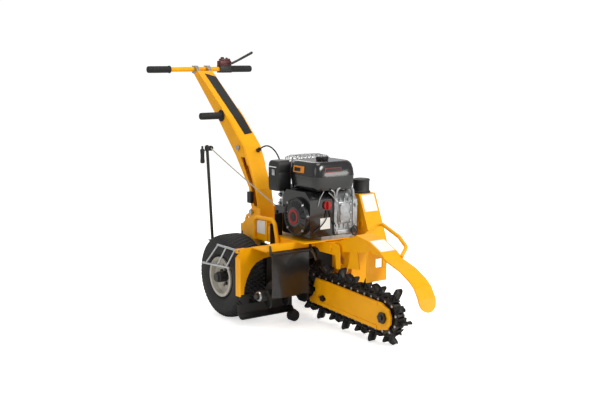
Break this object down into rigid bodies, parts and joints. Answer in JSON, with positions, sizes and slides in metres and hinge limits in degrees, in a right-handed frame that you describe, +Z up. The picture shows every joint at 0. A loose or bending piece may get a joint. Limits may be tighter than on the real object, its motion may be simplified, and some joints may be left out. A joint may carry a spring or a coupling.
{
  "type": "trencher",
  "caption": "Walk-behind chain trencher: two pneumatic tyres, petrol engine, toothed digging chain on a boom, spoil auger, hinged crumber strap and a single-column handlebar.",
  "frame": {"origin": "on the ground at the middle of the machine, between its handlebar grips and the tip of its crumber", "axes": "+Z up, +Y from the handlebar towards the boom, +X to the operator's right"},
  "size_m": [0.671, 1.688, 1.179],
  "materials": {
    "yellow": "gloss powder coat",
    "black_metal": "satin powder coat",
    "black_plastic": "matt",
    "rubber": "matt",
    "tyre": "matt",
    "rim": "satin",
    "zinc": "satin zinc plate",
    "steel": "oiled steel",
    "aluminium": "cast",
    "red_plastic": "gloss",
    "rope": "braided"
  },
  "bodies": {
    "machine": {"air_cleaner": "black_plastic", "auger_housing": "yellow", "axle_bar": "steel", "bar_clamps": "zinc", "bearing_plates": "black_metal", "belt_guard": "yellow", "boom": "yellow", "boom_arm": "yellow", "boom_bolts": "steel", "chain": "steel", "chassis": "yellow", "column_bolts": "zinc", "column_foot": "yellow", "column_lower": "yellow", "column_upper": "yellow", "control_box": "black_plastic", "curtain_rod": "black_metal", "cutters_left": "black_metal", "cutters_right": "black_metal", "cylinder": "aluminium", "drive_case": "yellow", "engine_block": "aluminium", "engine_cable": "rubber", "fan_shroud": "black_metal", "fuel_tank": "black_metal", "grips": "rubber", "guard_cap": "black_plastic", "handlebar": "yellow", "muffler": "steel", "muffler_guard": "black_metal", "recoil_cover": "black_metal", "rest_foot": "rubber", "rope_post": "black_metal", "shaft_bearings": "steel", "side_grip": "rubber", "side_hoop": "yellow", "starter_rope": "rope", "switch_box": "black_plastic", "trough_plate": "black_metal"},
    "right_wheel": {"tyre_right": "tyre", "rim_right": "rim", "hub_right": "black_metal"},
    "left_wheel": {"tyre_left": "tyre", "rim_left": "rim", "hub_left": "black_metal"},
    "drive": {"head_shaft": "steel", "auger": "black_metal", "drive_sprocket": "steel"},
    "nose": {"nose_roller": "steel"},
    "crank": {"crank_pulley": "steel"},
    "crumber": {"crumber_arm": "yellow", "crumber_handle": "yellow"},
    "curtain": {"curtain": "rubber"},
    "wire_guard": {"wire_guard": "zinc"},
    "clutch_lever": {"clutch_lever": "black_metal"},
    "choke_lever": {"choke_lever": "black_plastic"},
    "engine_switch": {"engine_switch": "red_plastic"},
    "fuel_cap": {"fuel_cap": "black_plastic"},
    "dipstick": {"dipstick": "black_plastic"},
    "starter_grip": {"starter_grip": "rubber"}
  },
  "joints": [
    {"name": "right_wheel_spin", "type": "hinge", "parent": "machine", "child": "right_wheel", "pos_m": [0.236, -0.16, 0.186], "axis": [1, 0, 0], "continuous": true},
    {"name": "left_wheel_spin", "type": "hinge", "parent": "machine", "child": "left_wheel", "pos_m": [-0.236, -0.16, 0.186], "axis": [1, 0, 0], "continuous": true},
    {"name": "drive_spin", "type": "hinge", "parent": "machine", "child": "drive", "pos_m": [0.1, 0.105, 0.146], "axis": [1, 0, 0], "continuous": true},
    {"name": "nose_spin", "type": "hinge", "parent": "machine", "child": "nose", "pos_m": [-0.025, 0.605, 0.121], "axis": [1, 0, 0], "continuous": true},
    {"name": "crank_spin", "type": "hinge", "parent": "machine", "child": "crank", "pos_m": [-0.2, 0.151, 0.48], "axis": [1, 0, 0], "continuous": true},
    {"name": "crumber_lift", "type": "hinge", "parent": "machine", "child": "crumber", "pos_m": [-0.025, 0.288, 0.358], "axis": [1, 0, 0], "range_deg": [0, 55]},
    {"name": "curtain_swing", "type": "hinge", "parent": "machine", "child": "curtain", "pos_m": [0.167, 0.1885, 0.338], "axis": [1, 0, 0], "range_deg": [-3, 75]},
    {"name": "wire_guard_swing", "type": "hinge", "parent": "machine", "child": "wire_guard", "pos_m": [0.333, -0.05, 0.338], "axis": [0, -1, 0], "range_deg": [-5, 80]},
    {"name": "clutch_squeeze", "type": "hinge", "parent": "machine", "child": "clutch_lever", "pos_m": [-0.16, -0.806, 1.1165], "axis": [0, -1, 0], "range_deg": [0, 20], "stiffness_Nm_per_rad": 3, "springref_deg": -11.46},
    {"name": "choke_turn", "type": "hinge", "parent": "machine", "child": "choke_lever", "pos_m": [0.095, -0.022, 0.456], "axis": [1, 0, 0], "range_deg": [-30, 30]},
    {"name": "switch_turn", "type": "hinge", "parent": "machine", "child": "engine_switch", "pos_m": [0.012, 0.24, 0.53], "axis": [0, 1, 0], "range_deg": [0, 60]},
    {"name": "fuel_cap_turn", "type": "hinge", "parent": "machine", "child": "fuel_cap", "pos_m": [-0.038, 0.135, 0.719], "axis": [0, 0, 1], "range_deg": [0, 90]},
    {"name": "dipstick_turn", "type": "hinge", "parent": "machine", "child": "dipstick", "pos_m": [-0.12, 0.25, 0.412], "axis": [0, 1, 0], "range_deg": [0, 270]},
    {"name": "starter_pull", "type": "slide", "parent": "machine", "child": "starter_grip", "axis": [0, 0, 1], "range_m": [0, 0.06]}
  ],
  "couplings": [
    {"joint": "nose_spin", "follows": "drive_spin", "ratio": 1},
    {"joint": "crank_spin", "follows": "drive_spin", "ratio": 1.3158}
  ]
}
